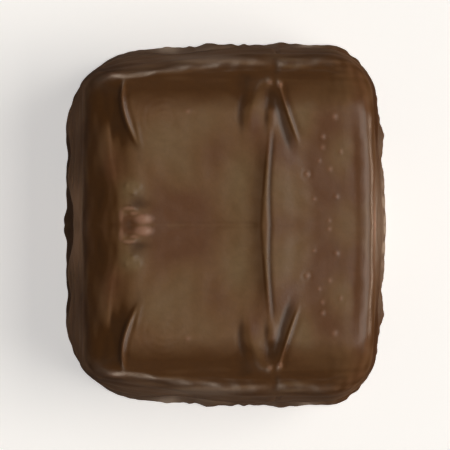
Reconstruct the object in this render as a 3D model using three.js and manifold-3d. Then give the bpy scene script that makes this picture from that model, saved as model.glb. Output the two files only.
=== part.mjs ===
// A chocolate covered marshmallow: a soft square of marshmallow under an unbroken coat of milk
// chocolate. The coat pooled into a thin foot round the base while it set, and the top carries
// the folds that the runny chocolate left. The piece is whole, so it is one solid.
// Millimetres, +Z up. The origin is on the resting plane, under the middle of the foot.
// The folds mirror across the plane Y = 0.
import * as THREE from "three";
import { mergeVertices } from "three/addons/utils/BufferGeometryUtils.js";
import Module from "manifold-3d";

const HEIGHT = 21; // from the resting plane to the plateau

// Four outlines in plan, one inside the other: the foot's edge, the bottom of the wall, the crown
// where the wall turns over into the top, and the plateau. Each is a rounded rectangle.
// right, left, ends: its edges. roundRight and roundLeft: its corner radii.
// bow: how far the right edge swells at its middle. taper: how much the ends draw in at the left.
const FOOT = {
  right: 18.6,
  left: 20.0,
  ends: 22.4,
  roundRight: 6.6,
  roundLeft: 10.5,
  bow: 1.1,
  taper: 1.0,
};
const WALL_BASE = {
  right: 17.9,
  left: 19.4,
  ends: 21.6,
  roundRight: 6.0,
  roundLeft: 8.8,
  bow: 1.0,
  taper: 1.1,
};
const CROWN = {
  right: 15.8,
  left: 18.9,
  ends: 20.7,
  roundRight: 5.0,
  roundLeft: 2.2,
  bow: 0.6,
  taper: 2.5,
};
const PLATEAU = {
  right: 13.9,
  left: 13.6,
  ends: 18.5,
  roundRight: 4.0,
  roundLeft: 0.7,
  bow: 0.3,
  taper: 0.9,
};
const TAPER_START = 2.0; // the taper starts at this X and runs this far to the left
const TAPER_RUN = 20.5;

// The shoulder, from the plateau's outline to the crown: a band that steepens slowly to a slope
// in degrees, then an arc that ends upright. band is its share of the shoulder.
const BAND = { right: 0.3, left: 0.86, ends: 0.25 };
const SLOPE = { right: 5, left: 38, ends: 5 };
const BAND_OF_TURN = 0.5; // share of the shoulder's lines that lie on the band
// The top starts to fall towards its ends at from, and falls evenly beyond full
const END_FALL = { from: 13.3, full: 16.5, slope: 0.42 };

// The wall between crown and base
const WALL_BULGE = 0.35; // swells by this much
const BULGE_HEIGHT = 18; // and only below this height
const WALL_START = 0.12; // share of the way down over which swell and ripples set in
// Ripples: lobes round the piece, and how often each turns over going up
const WALL_WAVES = [
  { lobes: 3, swell: 0.1, turns: 2.2 },
  { lobes: 5, swell: 0.12, turns: 0.5 },
  { lobes: 9, swell: 0.09, turns: 1.0 },
  { lobes: 14, swell: -0.08, turns: 0.7 },
  { lobes: 22, swell: 0.05, turns: 1.4 },
];

// The foot: a rounded lip with an uneven edge, as shares of the way from the base to the foot
const FOOT_LEVEL = 0.7; // height of its widest line
const FOOT_RISE = 0.7; // how quickly it dies into the wall above
const FOOT_UNDERCUT = 1.3; // how quickly it turns in below
const FOOT_WAVES = [
  { lobes: 5, swell: 0.1 },
  { lobes: 12, swell: 0.08 },
  { lobes: 19, swell: -0.1 },
  { lobes: 31, swell: 0.1 },
];

// Folds on the top, for Y >= 0. Each runs along a curve from start past bend to end, [x, y].
// across lists its ridges and furrows. Each lies at an offset, positive to the right of the way
// the fold runs, and has its own half width to its right and to its left. rise and fade are the
// shares of the length over which the fold swells at its start and dies away at its end.
const FLANK_RIDGE = {
  start: [-16.1, 12.9],
  bend: [-16.5, 7.6],
  end: [-14.8, 2.2],
  across: [
    { offset: 0, height: 0.34, right: 0.7, left: 0.4 },
    { offset: -1.1, height: -0.36, right: 0.45, left: 0.9 },
  ],
  rise: 0.15,
  fade: 0.12,
};
const CORNER_LIP = {
  start: [-13.5, 18.0],
  bend: [-15.1, 14.2],
  end: [-12.0, 8.8],
  across: [
    { offset: 0, height: 0.34, right: 0.4, left: 0.8 },
    { offset: 0.85, height: -0.44, right: 1.1, left: 0.45 },
  ],
  rise: 0.16,
  fade: 0.4,
};
const FORK_LEFT = {
  start: [2.9, 17.4],
  bend: [0.8, 14.6],
  end: [1.0, 10.4],
  across: [{ offset: 0, height: 0.36, right: 0.7, left: 0.7 }],
  rise: 0.08,
  fade: 0.35,
};
// The furrow that runs down to the left of the fork's left arm
const FORK_FURROW = {
  start: [0.5, 18.2],
  bend: [-0.7, 15.0],
  end: [0.1, 11.2],
  across: [{ offset: 0, height: -0.4, right: 0.7, left: 0.6 }],
  rise: 0.1,
  fade: 0.15,
};
const LONG_CREASE = {
  start: [3.7, 13.4],
  bend: [2.8, 6.0],
  end: [2.9, 0],
  across: [
    { offset: 0, height: 0.24, right: 2.4, left: 2.8 },
    { offset: 0, height: 0.26, right: 0.4, left: 0.5 },
    { offset: 0.85, height: -0.4, right: 0.5, left: 0.4 },
  ],
  rise: 0.3,
  fade: 0,
};
const FORK_RIGHT = {
  start: [4.6, 17.2],
  bend: [5.5, 13.6],
  end: [7.2, 9.4],
  across: [
    { offset: 0, height: 0.36, right: 0.35, left: 0.6 },
    { offset: 0.8, height: -0.44, right: 0.8, left: 0.4 },
  ],
  rise: 0.08,
  fade: 0.35,
};
const CURVE_STEPS = 24;
const END_SOFTNESS = 0.9; // past its ends a fold dies away over this length

// The pinch: a small egg-shaped crater in the left edge, with a swollen rim and a shallow moat
// outside it. pointed: how much it narrows to the right. The hollow's half width is a share of
// the crater, the others are lengths.
const PINCH = {
  x: -13.2,
  radii: [1.65, 1.75],
  pointed: 0.4,
  rim: { height: 0.4, half: 0.45 },
  hollow: { depth: 0.4, half: 0.6 },
  moat: { depth: 0.25, offset: 1.0, half: 0.5, from: 0.4, to: 1.6 },
};
// Swellings and hollows at [x, y], for Y >= 0, with their half widths along X and Y
const KNOBS = [
  { at: [-11.3, 0.7], height: 0.34, half: [0.6, 0.55] }, // at the point of the pinch
  { at: [3.9, 16.9], height: 0.32, half: [0.9, 0.7] }, // where the fork gathers
  { at: [3.8, 15.2], height: -0.42, half: [0.95, 1.2] }, // the hollow under the gathering
  { at: [4.1, 12.5], height: 0.32, half: [0.6, 1.0] }, // nose of the long crease
];
// Faint line where two flows met, along Y = 0
const SEAM = { from: -10.6, to: 2.2, ends: 1, depth: 0.1, half: 0.45 };
// The fork's gathering runs on over the crown and dies away down both end walls:
// a ridge with a notch to its right, gone below one height and full above another
const WALL_FOLD = {
  ridge: { x: 3.9, height: 0.3, half: 1.0 },
  notch: { x: 5.2, depth: 0.4, half: 0.5 },
  gone: 6,
  full: 18,
};

// Mesh. Lines go across X and Y, and lie closest over the folds. Each entry of a table is
// [line, place], where place goes from 0 in the middle of the top to 1 at its rim.
const LINES_X = 53;
const PLACES_X = [
  [0, -1],
  [12, -0.72],
  [16, -0.59],
  [22, -0.08],
  [43, 0.47],
  [48, 0.72],
  [53, 1],
];
const LINES_Y = 50;
const PLACES_Y = [
  [0, -1],
  [6, -0.72],
  [19, -0.16],
  [25, 0],
  [31, 0.16],
  [44, 0.72],
  [50, 1],
];
const PLATEAU_SHARE = 0.72; // place of the plateau's outline
const SHOULDER_ON_TOP = 0.72; // share of the shoulder that those lines carry
const SHOULDER_ROWS = 3; // rows that finish the shoulder
// Rows down the wall, as shares of the way down
const WALL_ROWS = [0.2, 0.42, 0.62, 0.77, 0.84, 0.88, 0.905, 0.93, 0.95, 0.97, 1];
const CUT_DEPTH = 0.5; // the coat is drawn this far below the resting plane and cut off there
// The line at each of these places is bent on to the crest of its fold.
// Between them the lines share the bend, and at the places with no fold there is none.
const BENT_LINES = [
  { place: -0.08 },
  { place: 0.1, fold: FORK_LEFT },
  { place: 0.2, fold: LONG_CREASE },
  { place: 0.34, fold: FORK_RIGHT },
  { place: 0.7 },
];
const BEND_DIES = 3; // past a fold's ends the bend dies away over this length

const MILK_CHOCOLATE = new THREE.MeshStandardMaterial({
  color: new THREE.Color(0.24, 0.15, 0.1),
  roughness: 0.4,
  metalness: 0,
});

const { degToRad, lerp, smoothstep } = THREE.MathUtils;
const hump = (distance, half) => Math.exp(-((distance / half) ** 2));

// Reads a table of [from, to] pairs at v, straight between its entries.
function readTable(table, v) {
  const last = table.findIndex(([from]) => from >= v);
  if (last <= 0) return table.at(last)[1];
  const [[from, low], [to, high]] = [table[last - 1], table[last]];
  return lerp(low, high, (v - from) / (to - from));
}

// One point of the unit square's edge, carried to a rounded rectangle: its place, and the way
// it faces.
function outline(numbers, p, q) {
  const radius = p > 0 ? numbers.roundRight : numbers.roundLeft;
  const halfX = p > 0 ? numbers.right : numbers.left;
  const halfY = numbers.ends;
  const onEnd = Math.abs(q) > Math.abs(p);
  const along = onEnd ? Math.abs(p) : Math.abs(q);
  const straight = (onEnd ? halfX : halfY) - radius;
  const travelled = along * (straight + (radius * Math.PI) / 4);
  const turn = Math.max(travelled - straight, 0) / radius;
  const far = Math.min(travelled, straight) + radius * Math.sin(turn);
  const out = (onEnd ? halfY : halfX) - radius * (1 - Math.cos(turn));
  const [farFace, outFace] = [Math.sin(turn), Math.cos(turn)];
  const plainX = Math.sign(p) * (onEnd ? far : out);
  const plainY = Math.sign(q) * (onEnd ? out : far);
  const bowed = numbers.bow * Math.max(plainX / halfX, 0) * (1 - (plainY / halfY) ** 2);
  const x = plainX + bowed;
  const leftward = Math.max(TAPER_START - x, 0) / TAPER_RUN;
  return {
    x,
    y: plainY * (1 - (numbers.taper * leftward ** 1.5) / halfY),
    faceX: Math.sign(p) * (onEnd ? farFace : outFace),
    faceY: Math.sign(q) * (onEnd ? outFace : farFace),
  };
}

// A side's number for the way that the wall faces, blended round the corners.
function bySide(numbers, { faceX, faceY }) {
  const right = Math.max(faceX, 0) ** 2;
  const left = Math.max(-faceX, 0) ** 2;
  return right * numbers.right + left * numbers.left + faceY ** 2 * numbers.ends;
}

// How far the top has fallen towards an end, at y.
function endFall(y) {
  const gone = Math.max(Math.abs(y) - END_FALL.from, 0);
  const run = END_FALL.full - END_FALL.from;
  const curved = Math.min(gone, run);
  return END_FALL.slope * (curved ** 2 / (2 * run) + Math.max(gone - run, 0));
}

// The shoulder at a share of its turn: shares of the way out and of the drop, and how level it is.
function shoulder(facing, turned) {
  const band = bySide(BAND, facing);
  const slope = degToRad(bySide(SLOPE, facing));
  const along = Math.min(turned / BAND_OF_TURN, 1);
  const bent = Math.max(turned - BAND_OF_TURN, 0) / (1 - BAND_OF_TURN);
  const radius = (1 - band) / (1 - Math.sin(slope));
  const angle = lerp(slope, Math.PI / 2, bent);
  return {
    out: band * along + radius * (Math.sin(angle) - Math.sin(slope)),
    drop:
      (band * Math.tan(slope) * along ** 2) / 2 +
      radius * (Math.cos(slope) - Math.cos(angle)),
    level: turned < BAND_OF_TURN ? Math.cos(slope * along) : Math.cos(angle),
  };
}

// Ripples that repeat round the piece, even in Y.
function ripples(waves, angle, height) {
  return waves.reduce((sum, { lobes, swell, turns = 0 }) => {
    const upright = Math.cos((turns * Math.PI * height) / HEIGHT);
    return sum + swell * Math.cos(lobes * angle) * upright;
  }, 0);
}

// How far the wall stands out from the straight line between crown and base.
function wallSwell({ faceY }, angle, x, height) {
  const { ridge, notch, gone, full } = WALL_FOLD;
  const risen = Math.min(Math.max(height / BULGE_HEIGHT, 0), 1);
  const fold =
    ridge.height * hump(x - ridge.x, ridge.half) -
    notch.depth * hump(x - notch.x, notch.half);
  return (
    WALL_BULGE * Math.sin(Math.PI * risen) +
    ripples(WALL_WAVES, angle, height) +
    faceY ** 2 * smoothstep(height, gone, full) * fold
  );
}

// How far the coat has run out from the wall towards the foot's edge, as a share.
function footShare(angle, height) {
  const offLevel = height - FOOT_LEVEL;
  const lip = hump(offLevel, offLevel > 0 ? FOOT_RISE : FOOT_UNDERCUT);
  return lip * (1 + ripples(FOOT_WAVES, angle, 0));
}

// Points along a fold's curve, with the way it runs there.
function traceFold({ start, bend, end }) {
  const curve = new THREE.QuadraticBezierCurve(
    new THREE.Vector2(...start),
    new THREE.Vector2(...bend),
    new THREE.Vector2(...end),
  );
  return Array.from({ length: CURVE_STEPS + 1 }, (_, k) => {
    const share = k / CURVE_STEPS;
    return { share, point: curve.getPoint(share), way: curve.getTangent(share) };
  });
}
const FOLDS = [FLANK_RIDGE, CORNER_LIP, FORK_LEFT, FORK_FURROW, LONG_CREASE, FORK_RIGHT];
const traces = new Map(FOLDS.map((fold) => [fold, traceFold(fold)]));
const crestTables = new Map(
  FOLDS.map((fold) => [
    fold,
    traces.get(fold).map(({ point }) => [point.y, point.x]).reverse(),
  ]),
);

function foldHeight(fold, x, y) {
  let nearest = { gap: Infinity };
  for (const { share, point, way } of traces.get(fold)) {
    const gap = Math.hypot(x - point.x, y - point.y);
    if (gap < nearest.gap) {
      // the right of the way it runs is (way.y, -way.x)
      const offset = (x - point.x) * way.y - (y - point.y) * way.x;
      nearest = { gap, share, offset };
    }
  }
  const { share, offset, gap } = nearest;
  const beyond = Math.sqrt(Math.max(gap ** 2 - offset ** 2, 0));
  const swell =
    smoothstep(share, -0.02, fold.rise) *
    (fold.fade ? 1 - smoothstep(share, 1 - fold.fade, 1) : 1) *
    hump(beyond, END_SOFTNESS);
  return fold.across.reduce((sum, { offset: at, height, right, left }) => {
    const off = offset - at;
    return sum + swell * height * hump(off, off > 0 ? right : left);
  }, 0);
}

function pinchHeight(x, y) {
  const { rim, hollow, moat, pointed } = PINCH;
  const [radiusX, radiusY] = PINCH.radii;
  const along = (x - PINCH.x) / radiusX;
  const widening = 1 - pointed * Math.min(Math.max(along, -1.3), 1.3);
  const ring = Math.hypot(along, y / (radiusY * widening));
  const fromRim = (ring - 1) * radiusX;
  const beside = smoothstep(y, moat.from, moat.to);
  return (
    rim.height * hump(fromRim, rim.half) -
    hollow.depth * hump(ring, hollow.half) -
    moat.depth * beside * hump(fromRim - moat.offset, moat.half)
  );
}

// Height that the folds add to the top at one place.
function topRelief(x, y) {
  const up = Math.abs(y);
  let height = pinchHeight(x, up);
  for (const fold of FOLDS) height += foldHeight(fold, x, up);
  for (const { at, height: lift, half } of KNOBS)
    height += lift * hump(x - at[0], half[0]) * hump(up - at[1], half[1]);
  const seam =
    smoothstep(x, SEAM.from, SEAM.from + SEAM.ends) *
    (1 - smoothstep(x, SEAM.to - SEAM.ends, SEAM.to));
  return height - SEAM.depth * seam * hump(up, SEAM.half);
}

// The coat without its folds. p and q are places across the top, down counts the rows below its
// rim. level is 1 where the coat lies flat and 0 where it is upright.
function plainCoat(p, q, down, underneath) {
  const ring = Math.max(Math.abs(p), Math.abs(q), 1e-9);
  const [plateau, crown, base, foot] = [PLATEAU, CROWN, WALL_BASE, FOOT].map((numbers) =>
    outline(numbers, p / ring, q / ring),
  );
  const inner = underneath ? ring : Math.min(ring / PLATEAU_SHARE, 1);
  const over = underneath ? 1 : Math.max(ring - PLATEAU_SHARE, 0) / (1 - PLATEAU_SHARE);
  const turned = over * lerp(SHOULDER_ON_TOP, 1, Math.min(down / SHOULDER_ROWS, 1));
  const { out, drop, level } = shoulder(foot, turned);
  const topX = inner * lerp(plateau.x, crown.x, out);
  const topY = inner * lerp(plateau.y, crown.y, out);
  const reach = Math.hypot(crown.x - plateau.x, crown.y - plateau.y);
  const topHeight = HEIGHT - endFall(topY) - drop * reach;
  const row = Math.round(down) - SHOULDER_ROWS;
  if (row <= 0) return { x: topX, y: topY, height: topHeight, level };

  const fall = WALL_ROWS[row - 1];
  const height = topHeight - fall * (topHeight + CUT_DEPTH);
  const angle = Math.atan2(foot.y, foot.x);
  const wallX = lerp(crown.x, base.x, fall);
  const wallY = lerp(crown.y, base.y, fall);
  const swell = smoothstep(fall, 0, WALL_START) * wallSwell(foot, angle, wallX, height);
  const share = footShare(angle, height);
  return {
    x: inner * lerp(wallX + swell * foot.faceX, foot.x, share),
    y: inner * lerp(wallY + swell * foot.faceY, foot.y, share),
    height,
    level: 0,
  };
}

// How far a top line is pushed along X, to lie on its fold.
function lineBend(p, q) {
  const pushes = BENT_LINES.map(({ place, fold }) => {
    if (!fold) return [place, 0];
    const rest = plainCoat(place, q, 0, false);
    const up = Math.abs(rest.y);
    const past = Math.max(up - fold.start[1], 0);
    const share = 1 - smoothstep(past, 0, BEND_DIES);
    return [place, share * (readTable(crestTables.get(fold), up) - rest.x)];
  });
  const outside = p <= BENT_LINES[0].place || p >= BENT_LINES.at(-1).place;
  return outside ? 0 : readTable(pushes, p);
}

function coatGeometry() {
  const rows = SHOULDER_ROWS + WALL_ROWS.length;
  const cube = new THREE.BoxGeometry(2, 2, 2, LINES_X, LINES_Y, rows);
  const place = cube.getAttribute("position");
  for (let i = 0; i < place.count; i++) {
    const p = readTable(PLACES_X, ((place.getX(i) + 1) / 2) * LINES_X);
    const q = readTable(PLACES_Y, ((place.getY(i) + 1) / 2) * LINES_Y);
    const down = ((1 - place.getZ(i)) / 2) * rows;
    const underneath = place.getZ(i) === -1;
    const coat = plainCoat(p, q, down, underneath);
    const x = coat.x + (underneath ? 0 : coat.level * lineBend(p, q));
    place.setXYZ(i, x, coat.y, coat.height + coat.level * topRelief(x, coat.y));
  }
  cube.deleteAttribute("normal");
  cube.deleteAttribute("uv");
  return mergeVertices(cube, 1e-4);
}

// Solids from meshes, for the flat cut that the resting plane makes
const wasm = await Module();
wasm.setup();

function solidFrom(geometry) {
  return new wasm.Manifold(
    new wasm.Mesh({
      numProp: 3,
      vertProperties: new Float32Array(geometry.getAttribute("position").array),
      triVerts: new Uint32Array(geometry.index.array),
    }),
  );
}

function geometryFrom(solid) {
  const { vertProperties, triVerts, numProp, numVert } = solid.getMesh();
  const places = new Float32Array(3 * numVert);
  for (let i = 0; i < numVert; i++)
    places.set(vertProperties.subarray(i * numProp, i * numProp + 3), 3 * i);
  return new THREE.BufferGeometry()
    .setAttribute("position", new THREE.BufferAttribute(places, 3))
    .setIndex(new THREE.BufferAttribute(new Uint32Array(triVerts), 1));
}

function restingBlock() {
  const block = new THREE.BoxGeometry(4 * FOOT.left, 4 * FOOT.ends, 2 * HEIGHT);
  block.translate(0, 0, -HEIGHT);
  block.deleteAttribute("normal");
  block.deleteAttribute("uv");
  return mergeVertices(block, 1e-4);
}

function chocolateCoveredMarshmallow() {
  const solid = solidFrom(coatGeometry()).subtract(solidFrom(restingBlock()));
  const geometry = geometryFrom(solid);
  geometry.computeBoundingBox();
  const middle = geometry.boundingBox.getCenter(new THREE.Vector3());
  geometry.translate(-middle.x, -middle.y, 0);
  geometry.computeVertexNormals();
  const mesh = new THREE.Mesh(geometry, MILK_CHOCOLATE);
  mesh.name = "chocolate_covered_marshmallow";
  return mesh;
}

const piece = new THREE.Group();
piece.add(chocolateCoveredMarshmallow());

export default piece;
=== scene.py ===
# %% [markdown]
# # A chocolate covered marshmallow
# The real thing is a soft square of marshmallow that was pushed under melted milk chocolate,
# lifted out on a fork and set down on a cold sheet. Everything you see is the coat: it ran down
# the walls and pooled into a foot, it wrinkled where the fork let go, and it set with a satin
# sheen. So this lesson is about one surface and its finish. The surface comes from arrays of
# numbers, because every fold then has a name, a place and a height that you can change.
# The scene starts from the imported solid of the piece, and the mesh takes its place, with the
# same outlines.

# %% Load the frame
import math

import bpy
import numpy as np
from mathutils import Matrix, Vector


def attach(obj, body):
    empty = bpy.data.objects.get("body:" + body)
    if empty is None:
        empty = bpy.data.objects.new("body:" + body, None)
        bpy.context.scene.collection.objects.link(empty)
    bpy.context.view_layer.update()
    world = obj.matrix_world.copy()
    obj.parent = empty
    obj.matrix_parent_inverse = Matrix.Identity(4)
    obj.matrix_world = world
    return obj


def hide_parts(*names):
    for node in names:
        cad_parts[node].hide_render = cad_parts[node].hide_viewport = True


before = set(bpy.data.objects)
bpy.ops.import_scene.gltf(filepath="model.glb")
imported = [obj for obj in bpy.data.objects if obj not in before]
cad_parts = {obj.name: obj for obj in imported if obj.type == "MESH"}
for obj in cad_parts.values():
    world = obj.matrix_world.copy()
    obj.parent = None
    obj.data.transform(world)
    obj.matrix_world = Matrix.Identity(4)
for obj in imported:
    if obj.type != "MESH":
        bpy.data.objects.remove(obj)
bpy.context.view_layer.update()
MM = 0.001

# %% [markdown]
# ## Four outlines
# A dipped square isn't a box. Seen from above it has four outlines, one inside the other: the
# edge of the foot, the bottom of the wall, the crown where the wall turns over into the top, and
# the plateau. Each is a rounded rectangle with its own right, left and end edges and its own
# corner radii, because the left corners sagged and the right ones didn't. The right side bows
# out, and the ends taper in towards the left. All sizes are in millimetres from the middle.
# A bevelled cube would have equal corners, so each outline is a formula with its own numbers.

# %% The outlines' numbers
HEIGHT = 21.0
FOOT = {
    "right": 18.6,
    "left": 20.0,
    "ends": 22.4,
    "round_right": 6.6,
    "round_left": 10.5,
    "bow": 1.1,
    "taper": 1.0,
}
WALL_BASE = {
    "right": 17.9,
    "left": 19.4,
    "ends": 21.6,
    "round_right": 6.0,
    "round_left": 8.8,
    "bow": 1.0,
    "taper": 1.1,
}
CROWN = {
    "right": 15.8,
    "left": 18.9,
    "ends": 20.7,
    "round_right": 5.0,
    "round_left": 2.2,
    "bow": 0.6,
    "taper": 2.5,
}
PLATEAU = {
    "right": 13.9,
    "left": 13.6,
    "ends": 18.5,
    "round_right": 4.0,
    "round_left": 0.7,
    "bow": 0.3,
    "taper": 1.6,
}
# to the left of this x the ends taper in, slowly at first, and over this run by their taper
TAPER_START, TAPER_RUN, TAPER_CURVE = 2.0, 20.5, 1.5


def outline(numbers, p, q):
    """A square's edge, p or q being 1 or -1, as a rounded rectangle, and the ways it faces."""
    radius = np.where(p > 0, numbers["round_right"], numbers["round_left"])
    half_x = np.where(p > 0, numbers["right"], numbers["left"])
    half_y = numbers["ends"]
    on_end = np.abs(q) > np.abs(p)
    along = np.where(on_end, np.abs(p), np.abs(q))
    straight = np.where(on_end, half_x, half_y) - radius
    travelled = along * (straight + radius * math.pi / 4)
    turn = np.maximum(travelled - straight, 0.0) / radius
    far = np.minimum(travelled, straight) + radius * np.sin(turn)
    out = np.where(on_end, half_y, half_x) - radius * (1 - np.cos(turn))
    x = np.sign(p) * np.where(on_end, far, out)
    y = np.sign(q) * np.where(on_end, out, far)
    x += numbers["bow"] * np.maximum(x / half_x, 0.0) * (1 - (y / half_y) ** 2)
    leftward = np.maximum(TAPER_START - x, 0.0) / TAPER_RUN
    y *= 1 - numbers["taper"] * leftward**TAPER_CURVE / half_y
    face_x = np.sign(p) * np.where(on_end, np.sin(turn), np.cos(turn))
    face_y = np.sign(q) * np.where(on_end, np.cos(turn), np.sin(turn))
    return np.column_stack([x, y]), np.column_stack([face_x, face_y])


print("foot", FOOT["left"] + FOOT["right"] + FOOT["bow"], "x", 2 * FOOT["ends"], "mm")

# %% [markdown]
# ## Four small shapes to build with
# A hump is a smooth bump, a patch is an oval with a flat top and a soft edge, and a ramp is a
# smooth step. A drift is an uneven field: a handful of cosine waves in random directions, added
# up. Chocolate that set by itself is never quite even, and the draw is seeded, so the piece
# comes out the same each time. A displace modifier could shape the mesh in this way too, but
# these fields also steer the colours.

# %% Hump, patch, ramp and drift
# a drift's waves go up and down between this much slower and this much faster than its size asks
DRIFT_PACES = (0.6, 1.4)


def hump(distance, half):
    """1 at the middle, dying away smoothly on both sides over about half."""
    return np.exp(-((distance / half) ** 2))


def patch(x, y, halves):
    """1 over an oval patch, with a soft edge at its half widths."""
    return np.exp(-(((x / halves[0]) ** 2 + (y / halves[1]) ** 2) ** 2))


def ramp(v, low, high):
    """0 below low, 1 above high, and a smooth climb between them."""
    t = np.clip((v - low) / (high - low), 0.0, 1.0)
    return t * t * (3.0 - 2.0 * t)


def drift(points, size, seed, waves=14):
    """A smooth field of about -1 to 1 over points (n, 3), with swells of about that size."""
    draw = np.random.default_rng(seed)
    ways = draw.normal(size=(waves, 3))
    ways /= np.linalg.norm(ways, axis=1, keepdims=True)
    pace = (2 * math.pi / size) * draw.uniform(*DRIFT_PACES, size=(waves, 1))
    phases = draw.uniform(0, 2 * math.pi, size=waves)
    return np.cos(points @ (ways * pace).T + phases).sum(axis=1) / math.sqrt(waves)


# %% [markdown]
# ## Shoulder, wall and foot
# The top isn't quite level: it bends over and falls towards both ends, and a little more at the
# right corners. From the plateau's edge the coat slopes down over the shoulder, first in a band
# that steepens slowly and then in an arc that ends upright at the crown. The slope that the
# band reaches, and its share of the shoulder, belong to each side, and they blend round the
# corners. The wall falls from the crown with a little swell and a few ripples, and near the
# sheet it runs out into the foot. Sculpting could do this too, but in a formula each side's
# slope is one number that is easy to change.

# %% The top's fall and the shoulder
# by side: the band's share of the shoulder's width, and the slope in degrees that it reaches
BAND = {"right": 0.3, "left": 0.86, "ends": 0.25}
SLOPE = {"right": 5.0, "left": 38.0, "ends": 5.0}
# the band's share of the turn from level to upright
BAND_OF_TURN = 0.5
# how far from the middle line a fall starts, where it reaches its full slope, and that slope
END_FALL = {"from": 13.3, "full": 16.5, "slope": 0.42}
CORNER_FALL = {"from": 11.0, "full": 13.0, "slope": 0.08}
# the corners' fall sets in between these two places along X
CORNER_SIDE = (12.5, 16.0)


def by_side(numbers, face):
    """A side's number for the way that the wall faces, blended round the corners."""
    right = np.maximum(face[:, 0], 0.0) ** 2
    left = np.maximum(-face[:, 0], 0.0) ** 2
    return right * numbers["right"] + left * numbers["left"] + face[:, 1] ** 2 * numbers["ends"]


def fall(y, numbers):
    """How far the top has fallen at y: level, then bending over, then a plain slope."""
    gone = np.maximum(np.abs(y) - numbers["from"], 0.0)
    run = numbers["full"] - numbers["from"]
    curved = np.minimum(gone, run)
    return numbers["slope"] * (curved**2 / (2 * run) + np.maximum(gone - run, 0.0))


def top_fall(x, y):
    """How far the top has fallen towards the ends, and a little more at the right corners."""
    return fall(y, END_FALL) + ramp(x, *CORNER_SIDE) * fall(y, CORNER_FALL)


def shoulder(face, turned):
    """Shares of the way out and of the drop at a share of the turn, and how level it is."""
    band = by_side(BAND, face)
    slope = np.radians(by_side(SLOPE, face))
    along = np.minimum(turned / BAND_OF_TURN, 1.0)
    bent = np.maximum(turned - BAND_OF_TURN, 0.0) / (1 - BAND_OF_TURN)
    radius = (1 - band) / (1 - np.sin(slope))
    angle = slope + bent * (math.pi / 2 - slope)
    out = band * along + radius * (np.sin(angle) - np.sin(slope))
    drop = band * np.tan(slope) * along**2 / 2 + radius * (np.cos(slope) - np.cos(angle))
    level = np.where(turned < BAND_OF_TURN, np.cos(slope * along), np.cos(angle))
    return out, drop, level


# %% The wall and the foot
WALL_BULGE = 0.35
BULGE_HEIGHT = 18.0
# lobes round the piece, swell in mm, and how often the ripple turns over going up the wall
WALL_WAVES = [(3, 0.1, 2.2), (5, 0.12, 0.5), (9, 0.09, 1.0), (14, -0.08, 0.7), (22, 0.05, 1.4)]
# the fold down each end wall: a ridge with a notch beside it, gone and full at these heights
WALL_RIDGE = {"x": 3.9, "height": 0.3, "half": 1.0}
WALL_NOTCH = {"x": 4.9, "depth": 0.45, "half": 0.35}
WALL_FOLD_GONE, WALL_FOLD_FULL = 6.0, 18.0
# the foot stands out furthest at this height, and dies away over so much above and below it
FOOT_LEVEL = 0.6
FOOT_RISE = 0.55
FOOT_UNDERCUT = 1.2
# its edge waves in so many lobes and is uneven at these sizes, each by a share of its width
FOOT_WAVES = [(5, 0.1), (12, 0.08)]
FOOT_UNEVEN = [(6.0, 0.2), (2.2, 0.1), (1.1, 0.06)]
# the unevenness is drawn along a rim of this radius, and changes more slowly going up
RIM_RADIUS = 20.0
RIM_CLIMB = 0.6


def wall_swell(face, angle, x, height):
    """How far the wall stands out from the straight line between crown and base."""
    swell = WALL_BULGE * np.sin(math.pi * np.clip(height / BULGE_HEIGHT, 0, 1))
    for lobes, size, turns in WALL_WAVES:
        swell += size * np.cos(lobes * angle) * np.cos(turns * math.pi * height / HEIGHT)
    ridge = WALL_RIDGE["height"] * hump(x - WALL_RIDGE["x"], WALL_RIDGE["half"])
    notch = WALL_NOTCH["depth"] * hump(x - WALL_NOTCH["x"], WALL_NOTCH["half"])
    fold = face[:, 1] ** 2 * ramp(height, WALL_FOLD_GONE, WALL_FOLD_FULL)
    return swell + fold * (ridge - notch)


def foot_share(angle, height):
    """How far the coat has run out from the wall towards the foot's edge."""
    off_level = height - FOOT_LEVEL
    lip = hump(off_level, np.where(off_level > 0, FOOT_RISE, FOOT_UNDERCUT))
    waves = sum(swell * np.cos(lobes * angle) for lobes, swell in FOOT_WAVES)
    rim_x, rim_y = RIM_RADIUS * np.cos(angle), RIM_RADIUS * np.abs(np.sin(angle))
    rim = np.column_stack([rim_x, rim_y, RIM_CLIMB * height])
    waves += sum(swell * drift(rim, size, seed=3) for size, swell in FOOT_UNEVEN)
    return lip * (1 + waves)
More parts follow.
